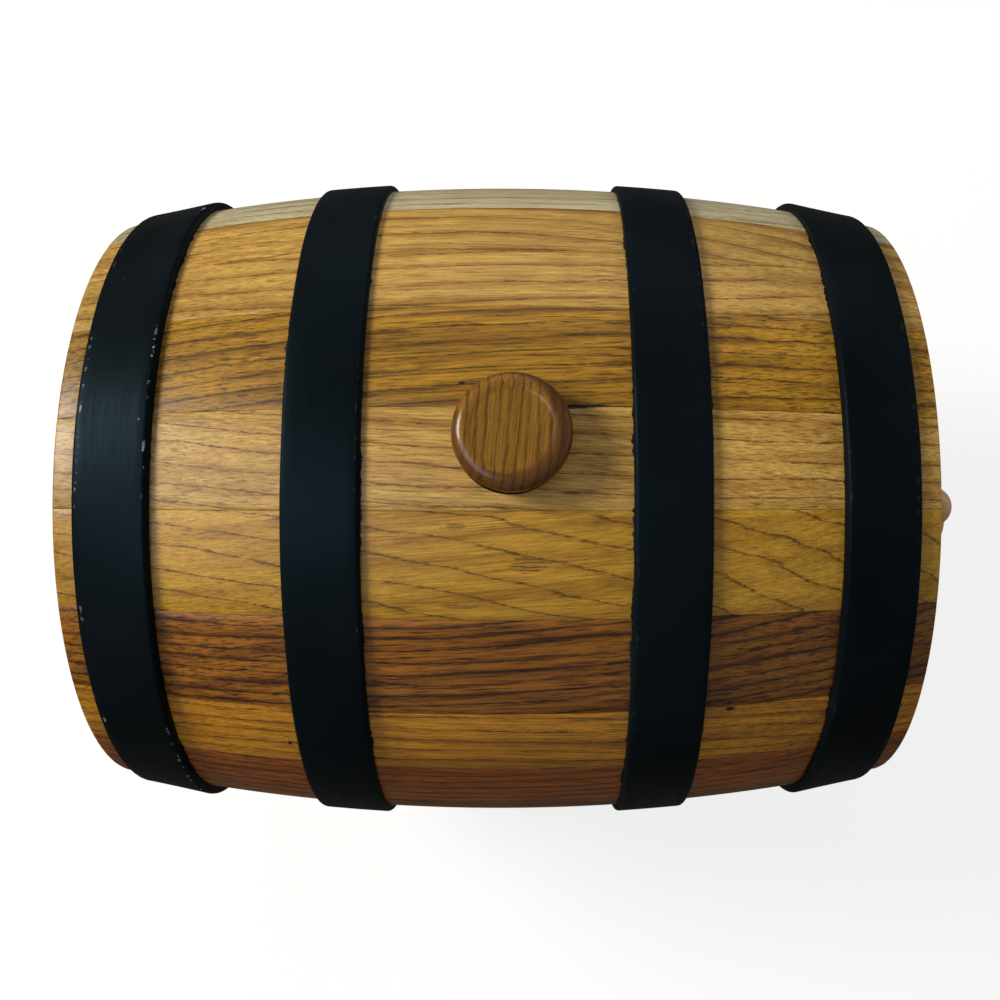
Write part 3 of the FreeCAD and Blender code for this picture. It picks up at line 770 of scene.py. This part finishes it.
paint = satin_paint()
rivets = bmesh.new()
for node in HOOPS:
    low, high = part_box(node)
    hoop = hoop_shape(low.x, high.x, EDGE_LIFT if "head" in node else 0.0)
    make_piece(hoop, "steel_" + node, "cask", [node], paint)
    middle = (low.x + high.x) / 2
    lean = math.asin(middle / curve_radius)
    radius = curved(middle, 0).z - axis_z
    for side in (-0.5, 0.5):
        turn = Matrix.Rotation(-LAP_ANGLE - side * RIVET_SPACING / radius, 4, "X")
        stand = Matrix.Translation(curved(middle, 0) - axis_point) @ Matrix.Rotation(lean, 4, "Y")
        add_rivet(rivets, Matrix.Translation(axis_point) @ turn @ stand)
bmesh.ops.remove_doubles(rivets, verts=rivets.verts, dist=SAME_VERTEX)
make_piece(rivets, "steel_hoop_rivets", "cask", ["hoop_rivets"], paint)


# Bung
# A turned plug of darker oak, pushed into its tapered hole. Its flat face is sunk a little inside
# a rounded rim, which is painted darker on the side away from the key lamp, as painted shade.

BUNG_ROUNDING = 3.8 * MM
BUNG_SINK = (0.34 * MM, 2.4 * MM)
BUNG_PITH = Vector((90, 0, -50)) * MM
BUNG_GRAIN = Vector((0.08, 1, 0)).normalized()
BUNG_OAK = ("#7E5818", "#583A0C", "#4C300A", 2.6, 0.8, 0.3)
BUNG_COAT = (0.36, 0.2)
BUNG_WANDER = 2.6

# How wide the darker rim is, its colour, and how far its middle lies off the bung's, so that the
# side away from the key lamp is darkest: painted shade.
SHADED_RIM = (3 * MM, "#401E0C")
SHADE_ASIDE = Vector((-1.9, 1.9, 0)) * MM

bung_x, bung_top = bung_middle.x, bung_high.z
rim_x = bung_x + bung_radius - BUNG_ROUNDING
sink_depth, sink_slope = BUNG_SINK
sink_turn = 2 * math.atan(sink_depth / sink_slope)
sink_radius = sink_slope / 2 / math.sin(sink_turn)
bm = bmesh.new()
line_to(bm, (bung_x, 0, bung_top - sink_depth), (rim_x - sink_slope, 0, bung_top - sink_depth))
arc_about(bm, (rim_x - sink_slope, 0, bung_top - sink_depth + sink_radius), -sink_turn)
arc_about(bm, (rim_x, 0, bung_top - sink_radius), sink_turn)
arc_about(bm, (rim_x, 0, bung_top - BUNG_ROUNDING), math.radians(90), 10)
line_to(bm, (bung_x + BUNG_TIP, 0, bung_low.z), (bung_x, 0, bung_low.z))
turned_about(bm, (bung_x, 0, 0), Z_AXIS)
shade_width, stain_and_shade = SHADED_RIM
bung_oak = oak("bung_oak", *BUNG_OAK, pith=Vector((bung_x, 0, bung_top)) + BUNG_PITH,
               grain=BUNG_GRAIN, width=X_AXIS, wander=BUNG_WANDER, seed=31, coat=BUNG_COAT,
               rim=(bung_middle + SHADE_ASIDE, bung_radius - shade_width, stain_and_shade))
make_piece(bm, "oak_bung", "bung", ["bung"], bung_oak)


# Tap body
# A beech spigot turned on a lathe. Its tapered shank is driven through the head as far as the
# collar, and it is bored along its length, through the barrel, to an outlet under the nose.

COLLAR = (14.5 * MM, 6 * MM, 2 * MM)
NECK_RADIUS = 10.5 * MM
NECK_SWELL = 1.8 * MM
BARREL = (14 * MM, 28 * MM, 1 * MM)
NOSE_RADIUS = 11.5 * MM
NOSE_ROUNDING = 6 * MM
BORE = 4 * MM
OUTLET_FROM_END = 7 * MM
GROOVE_WIDTH = 1.2 * MM
GROOVE_DEPTH = 0.45 * MM
BARREL_GROOVES = (9.5 * MM, 11.5 * MM)
KEY_TOP_RADIUS = 7.05 * MM
KEY_END_RADIUS = 5.45 * MM
KEY_GAP = 0.05 * MM
OVERCUT = 5 * MM

key_low, key_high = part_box("tap_key")
handle_low, handle_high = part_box("tap_handle")
key_x = (key_low.x + key_high.x) / 2
nose_x = tap_high.x
outlet_x = nose_x - OUTLET_FROM_END


def crown(bm, low_x, high_x, radius, rise, grooves=()):
    """Turn a gentle swelling from high_x back to low_x, with grooves cut at the given places."""
    half = (high_x - low_x) / 2
    bow = (half**2 + rise**2) / (2 * rise)
    centre = Vector(((low_x + high_x) / 2, 0, tap_z + radius - bow))

    def on_crown(x):
        return Vector((x, 0, centre.z + math.sqrt(bow**2 - (x - centre.x) ** 2)))

    line_to(bm, on_crown(high_x))
    for x in sorted(grooves, reverse=True) + [None]:
        end = low_x if x is None else x + GROOVE_WIDTH / 2
        start = bm.verts[-1].co.x
        turn = math.asin((end - centre.x) / bow) - math.asin((start - centre.x) / bow)
        arc_about(bm, centre, turn, steps=6)
        if x is not None:
            line_to(bm, on_crown(x) - Z_AXIS * GROOVE_DEPTH, on_crown(x - GROOVE_WIDTH / 2))


bm = bmesh.new()
nose_z = tap_z + NOSE_RADIUS - NOSE_ROUNDING
line_to(bm, (nose_x, 0, tap_z), (nose_x, 0, nose_z))
arc_about(bm, (nose_x - NOSE_ROUNDING, 0, nose_z), math.radians(-90), steps=12)
barrel_radius, barrel_length, barrel_rise = BARREL
barrel_start, barrel_end = key_x - barrel_length / 2, key_x + barrel_length / 2
line_to(bm, (barrel_end, 0, tap_z + NOSE_RADIUS))
grooves = [key_x + side * away for side in (-1, 1) for away in BARREL_GROOVES]
crown(bm, barrel_start, barrel_end, barrel_radius, barrel_rise, grooves)
collar_radius, collar_length, collar_rise = COLLAR
line_to(bm, (barrel_start, 0, tap_z + NECK_RADIUS + NECK_SWELL),
        (head_outer + collar_length, 0, tap_z + NECK_RADIUS))
crown(bm, head_outer, head_outer + collar_length, collar_radius, collar_rise)
line_to(bm, (head_outer, 0, tap_z + SHANK_RADIUS),
        (tap_low.x, 0, tap_z + SHANK_RADIUS - SHANK_TAPER), (tap_low.x, 0, tap_z))
turned_about(bm, (0, 0, tap_z), X_AXIS)
body_beech = beech("turned_beech_body", *BEECH, grain=X_AXIS)
tap_body = make_piece(bm, "beech_tap_body", "cask", ["tap_body"], body_beech)
slope = (KEY_TOP_RADIUS - KEY_END_RADIUS) / (key_high.z - key_low.z)
reach = barrel_radius + OVERCUT
key_middle = Vector((key_x, 0, tap_z))
cut_away(tap_body, cone(key_middle - Z_AXIS * reach, key_middle + Z_AXIS * reach,
                        KEY_END_RADIUS + KEY_GAP, KEY_END_RADIUS + KEY_GAP + slope * 2 * reach))
outlet = Vector((outlet_x, 0, tap_z))
cut_away(tap_body, cone(Vector((tap_low.x - MM, 0, tap_z)), outlet, BORE, BORE, 32))
cut_away(tap_body, cone(outlet - Z_AXIS * reach, outlet, BORE, BORE, 32))


# Tap key and handle
# The key is a tapered beech plug with a hole across it, ground into the barrel and waxed. It
# turns the flow on when the hole is in line. The round-ended crossbar is glued on its tenon.

TENON_RADIUS = 4 * MM
TENON_LENGTH = 10 * MM
KEY_STEP = 0.35 * MM
KEY_GROOVES = (1.5 * MM, 5.5 * MM)
HANDLE_GROOVE = 1.15

shoulder = key_high.z - TENON_LENGTH
bm = bmesh.new()
line_to(bm, (key_x, 0, key_low.z), (key_x + KEY_END_RADIUS - KEY_STEP, 0, key_low.z),
        (key_x + KEY_END_RADIUS, 0, key_low.z + KEY_STEP))
for above in KEY_GROOVES:
    z = tap_z + barrel_radius + above
    x = key_x + KEY_END_RADIUS + slope * (z - key_low.z)
    line_to(bm, (x, 0, z), (x - GROOVE_DEPTH, 0, z + GROOVE_WIDTH / 2), (x, 0, z + GROOVE_WIDTH))
line_to(bm, (key_x + KEY_TOP_RADIUS, 0, shoulder), (key_x + TENON_RADIUS, 0, shoulder),
        (key_x + TENON_RADIUS, 0, key_high.z), (key_x, 0, key_high.z))
turned_about(bm, (key_x, 0, 0), Z_AXIS)
key_beech = beech("turned_beech_key", *BEECH, grain=Z_AXIS)
tap_key = make_piece(bm, "beech_tap_key", "key", ["tap_key"], key_beech)
cut_away(tap_key, cone(key_middle - X_AXIS * reach, key_middle + X_AXIS * reach, BORE, BORE, 32))

handle_radius = (handle_high.z - handle_low.z) / 2
handle_z = (handle_low.z + handle_high.z) / 2
in_from_end = HANDLE_GROOVE * handle_radius
bm = bmesh.new()
line_to(bm, (handle_low.x, 0, handle_z))
arc_about(bm, (handle_low.x + handle_radius, 0, handle_z), math.radians(90), steps=14)
for x in (handle_low.x + in_from_end, handle_high.x - in_from_end):
    line_to(bm, (x - GROOVE_WIDTH / 2, 0, handle_high.z), (x, 0, handle_high.z - GROOVE_DEPTH),
            (x + GROOVE_WIDTH / 2, 0, handle_high.z))
line_to(bm, (handle_high.x - handle_radius, 0, handle_high.z))
arc_about(bm, (handle_high.x - handle_radius, 0, handle_z), math.radians(90), steps=14)
turned_about(bm, (0, 0, handle_z), X_AXIS)
handle_beech = beech("turned_beech_handle", *BEECH, grain=X_AXIS)
handle = make_piece(bm, "beech_tap_handle", "key", ["tap_handle"], handle_beech)
cut_away(handle, cone(Vector((key_x, 0, handle_low.z - MM)), Vector((key_x, 0, key_high.z)),
                      TENON_RADIUS, TENON_RADIUS, 48))


# Stand
# Two saddle boards of oak, sawn to the cask's curve and to an arched foot, with two rails
# between them. Their edges are eased with sandpaper, and the cask lies on them by its weight.

HORN_ROUNDING = 8 * MM
FOOT_WIDTH = 43 * MM
FOOT_ARCH_HEIGHT = 10 * MM
CRADLE_CLEARANCE = 0.3 * MM
STAND_EASE = 1.2 * MM
STAND_OAK = ("#A0702C", "#7C501C", "#3A2207", 5.0, 0.8, 0.5)

# Where the pith lies: behind each saddle, aside from one saddle to the next, and how high.
SADDLE_PITH = (-40 * MM, 90 * MM, -15 * MM)
# The same for the rails: along from one rail to the next, aside of each, and how high.
RAIL_PITH = (120 * MM, 50 * MM, -30 * MM)

saddle_low, saddle_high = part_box("front_saddle")


def saddle_shape(low_x, high_x):
    """A saddle board between two places along the cask."""
    saddle_end, top = saddle_high.y, saddle_high.z
    horn_y, horn_z = saddle_end - HORN_ROUNDING, top - HORN_ROUNDING
    cradle_radius = curved(saddle_low.x, CRADLE_CLEARANCE).z - axis_z
    cradle_y = math.sqrt(cradle_radius**2 - (axis_z - top) ** 2)
    arch_y = saddle_end - FOOT_WIDTH
    arch_radius = (arch_y**2 + FOOT_ARCH_HEIGHT**2) / (2 * FOOT_ARCH_HEIGHT)
    arch_centre = (low_x, 0, FOOT_ARCH_HEIGHT - arch_radius)
    bm = bmesh.new()
    line_to(bm, (low_x, -arch_y, 0))
    arc_about(bm, arch_centre, -2 * math.asin(arch_y / arch_radius), 24, X_AXIS)
    line_to(bm, (low_x, saddle_end, 0), (low_x, saddle_end, horn_z))
    arc_about(bm, (low_x, horn_y, horn_z), math.radians(90), 8, X_AXIS)
    line_to(bm, (low_x, cradle_y, top))
    arc_about(bm, (low_x, 0, axis_z), -2 * math.atan2(cradle_y, axis_z - top), 64, X_AXIS)
    line_to(bm, (low_x, -horn_y, top))
    arc_about(bm, (low_x, -horn_y, horn_z), math.radians(90), 8, X_AXIS)
    line_to(bm, (low_x, -saddle_end, 0))
    face = bm.faces.new(bm.verts)
    made = bmesh.ops.extrude_face_region(bm, geom=[face])
    moved = [item for item in made["geom"] if isinstance(item, bmesh.types.BMVert)]
    bmesh.ops.translate(bm, verts=moved, vec=(high_x - low_x, 0, 0))
    ease(bm, [e for e in bm.edges if abs(e.verts[0].co.x - e.verts[1].co.x) < NEAR], STAND_EASE)
    return bm


def rail_shape(low, high):
    """A plain rail with its four long edges eased."""
    bm = bmesh.new()
    bmesh.ops.create_cube(bm, size=1.0)
    bmesh.ops.scale(bm, verts=bm.verts, vec=high - low)
    bmesh.ops.translate(bm, verts=bm.verts, vec=(low + high) / 2)
    ease(bm, [e for e in bm.edges if abs(e.verts[0].co.x - e.verts[1].co.x) > MM], STAND_EASE)
    return bm


saddles = {}
for number, node in enumerate(("front_saddle", "back_saddle")):
    low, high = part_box(node)
    behind, aside, height = SADDLE_PITH
    wood = oak(node + "_oak", *STAND_OAK, grain=Y_AXIS, width=Z_AXIS,
               pith=Vector((low.x + behind, number * aside, height)))
    saddles[node] = make_piece(saddle_shape(low.x, high.x), "oak_" + node, "stand",
                               [node], wood)
for number, node in enumerate(("left_rail", "right_rail")):
    low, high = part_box(node)
    along, aside, height = RAIL_PITH
    wood = oak(node + "_oak", *STAND_OAK, grain=X_AXIS, width=Z_AXIS,
               pith=Vector((number * along, low.y + aside, height)))
    make_piece(rail_shape(low, high), "oak_" + node, "stand", [node], wood)


# Stand screws
# Brass countersunk wood screws, slotted, two through a saddle into each end of a rail. Each was
# driven by hand until its head lay flush, so no two slots stop at the same angle.

SCREW_RADIUS = 2 * MM
SCREW_HEAD_RADIUS = 4 * MM
SCREW_LENGTH = 42 * MM
SLOT_WIDTH = 0.9 * MM
SLOT_DEPTH = 1.1 * MM
COUNTERSINK_GAP = 0.12 * MM
SCATTER = 900


def turned_brass():
    """Yellow brass, turned bright and gone a little dull: a warm metal with fine scratches."""
    material, tree, shader, place = new_material("turned_brass")
    fine = add(tree, "TexNoise", {"Vector": place, "Scale": 1 / (1.111 * MM), "Detail": 2.0})
    matt = add(tree, "MapRange", {"Value": fine, 1: 0.3, 2: 0.7, 3: 0.42, 4: 0.6})
    tone = add(tree, "MixRGB", {0: fine, 1: colour("#CCA24C"), 2: colour("#E6C070")})
    feed(tree, shader, {"Base Color": tone, "Roughness": matt, "Metallic": 1.0})
    return material


screw_low, screw_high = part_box("stand_screws")
head_taper = SCREW_HEAD_RADIUS - SCREW_RADIUS
sink_length = head_taper + COUNTERSINK_GAP
sink_mouth = SCREW_HEAD_RADIUS + COUNTERSINK_GAP
screw_outline = [(0, 0), (0, SCREW_HEAD_RADIUS), (head_taper, SCREW_RADIUS),
                 (SCREW_LENGTH - SCREW_RADIUS, SCREW_RADIUS), (SCREW_LENGTH, 0)]
slot_size = Matrix.Diagonal((2 * SLOT_DEPTH, 3 * SCREW_HEAD_RADIUS, SLOT_WIDTH, 1))
screws, slots = bmesh.new(), bmesh.new()
sinks = {"front_saddle": bmesh.new(), "back_saddle": bmesh.new()}
for end, node in ((1, "front_saddle"), (-1, "back_saddle")):
    for side in (-1, 1):
        for z in (screw_low.z + SCREW_HEAD_RADIUS, screw_high.z - SCREW_HEAD_RADIUS):
            face = Vector((end * screw_high.x, side * (screw_high.y - SCREW_HEAD_RADIUS), z))
            place = Matrix.Translation(face)
            chain = [screws.verts.new(face + Vector((-end * x, 0, r))) for x, r in screw_outline]
            edges = [screws.edges.new(pair) for pair in zip(chain, chain[1:])]
            bmesh.ops.spin(screws, geom=chain + edges, cent=face, axis=X_AXIS, angle=math.tau,
                           steps=32, use_merge=True)
            outwards = Matrix.Rotation(math.radians(-90 * end), 4, "Y")
            bmesh.ops.create_cone(sinks[node], cap_ends=True, segments=48, depth=2 * sink_length,
                                  radius1=sink_mouth + sink_length,
                                  radius2=sink_mouth - sink_length, matrix=place @ outwards)
            slot_turn = Matrix.Rotation(noise.noise(face * SCATTER) * math.pi, 4, "X")
            bmesh.ops.create_cube(slots, size=1.0, matrix=place @ slot_turn @ slot_size)
bmesh.ops.remove_doubles(screws, verts=screws.verts, dist=SAME_VERTEX)
brass = make_piece(screws, "brass_stand_screws", "stand", ["stand_screws"],
                   turned_brass())
cut_away(brass, slots)
for node, sink in sinks.items():
    cut_away(saddles[node], sink)


# Floor and room
# A matt pale floor in a white room. The floor glows for the camera, a little less near the cask,
# where a faint shadow shows, and it is dark where the gloss of the wood and paint mirrors it.

FLOOR_SIZE = 4.0
FLOOR_LIT = (1, 1, 1, 1)
FLOOR_BOUNCE = "#A8A8A4"
FLOOR_IN_GLOSS = "#302C28"
GLOW_IN_GLOSS = 0.05
ROOM_LIGHT = 0.29

# The floor's glow for the camera beside the cask and far from it, and how many metres away it
# starts to grow and is full.
FLOOR_GLOW = (0.78, 1.0)
GLOW_GROWS = (0.6, 1.7)


def pale_floor():
    """Matt pale paint, which glows for the camera and from some way off is plain white, so that
    no edge shows between the floor and the room."""
    material, tree, shader, place = new_material("pale_floor")
    path = add(tree, "LightPath", {})
    camera_ray, gloss_ray = path.outputs["Is Camera Ray"], path.outputs["Is Glossy Ray"]
    paint = add(tree, "MixRGB", {0: camera_ray, 1: colour(FLOOR_BOUNCE), 2: FLOOR_LIT})
    paint = add(tree, "MixRGB", {0: gloss_ray, 1: paint, 2: colour(FLOOR_IN_GLOSS)})
    feed(tree, shader, {"Base Color": paint, "Roughness": 0.9, "Specular IOR Level": 0.1})
    away = add(tree, "VectorMath", {0: place}, operation="LENGTH").outputs["Value"]
    bright = add(tree, "MapRange", {"Value": away, 1: GLOW_GROWS[0], 2: GLOW_GROWS[1],
                                    3: FLOOR_GLOW[0], 4: FLOOR_GLOW[1]})
    seen = add(tree, "Math", {0: camera_ray, 1: bright}, **TIMES)
    seen = add(tree, "Math", {0: gloss_ray, 1: GLOW_IN_GLOSS, 2: seen}, **TIMES_PLUS)
    glow = add(tree, "Emission", {"Color": (1, 1, 1, 1), "Strength": 1.0})
    mixed = add(tree, "MixShader", {0: seen, 1: shader, 2: glow})
    feed(tree, tree.nodes["Material Output"], {"Surface": mixed})
    return material


bm = bmesh.new()
bmesh.ops.create_grid(bm, size=FLOOR_SIZE)
floor = in_scene("floor", bm)
floor.data.materials.append(pale_floor())

scene = bpy.context.scene
scene.view_settings.view_transform = "Standard"
scene.world = bpy.data.worlds.new("studio")
scene.world.use_nodes = True
tree = scene.world.node_tree
room = tree.nodes["Background"]
feed(tree, room, {"Color": (1.0, 0.96, 0.9, 1), "Strength": ROOM_LIGHT})
white = add(tree, "Background", {"Color": (1, 1, 1, 1), "Strength": 1.0})
camera_ray = add(tree, "LightPath", {}).outputs["Is Camera Ray"]
mixed = add(tree, "MixShader", {0: camera_ray, 1: room, 2: white})
feed(tree, tree.nodes["World Output"], {"Surface": mixed})


# Lamps and camera
# A warm key lamp, high behind the back head, throws the bung's shadow towards the tap. Soft lamps
# fill the other sides, and two cards show only in the gloss. The camera looks down on the bung.


def lamp(name, place, size, power, tint="#FFFFFF"):
    """A round lamp that shines at the middle of the cask."""
    light = bpy.data.lights.new(name, "AREA")
    light.shape = "DISK"
    light.size = size
    light.energy = power
    light.color = colour(tint)[:3]
    holder = in_scene(name, light)
    holder.location = place
    aim = axis_point - Vector(place)
    holder.rotation_euler = aim.to_track_quat("-Z", "Y").to_euler()
    return holder


lamp("key", (-1.3, 0.38, 1.13), 0.6, 35, "#FFFAF0")
lamp("card", (-0.75, -0.3, 1.4), 1.0, 11, "#EEF3FF").visible_diffuse = False
lamp("far_window", (0.1, 1.3, 0.7), 1.2, 2.6, "#CFE0FF")
lamp("fill", (1.0, -1.1, 1.1), 2.0, 1)
lamp("front_fill", (1.6, 0.85, 0.55), 0.5, 12, "#F2F4FF").visible_glossy = False
lamp("side_fill", (-0.1, -1.8, 0.15), 1.2, 5).visible_glossy = False
lamp("front_card", (1.7, 0.3, 0.25), 1.4, 4).visible_diffuse = False

camera = in_scene("camera", bpy.data.cameras.new("camera"))
camera.data.lens = 43.69
camera.data.shift_x, camera.data.shift_y = -0.0398, -0.0496
camera.location = (0.00932, -0.06706, 0.6007)
camera.rotation_euler = [math.radians(a) for a in (10.62, -0.4445, -0.0838)]
scene.camera = camera
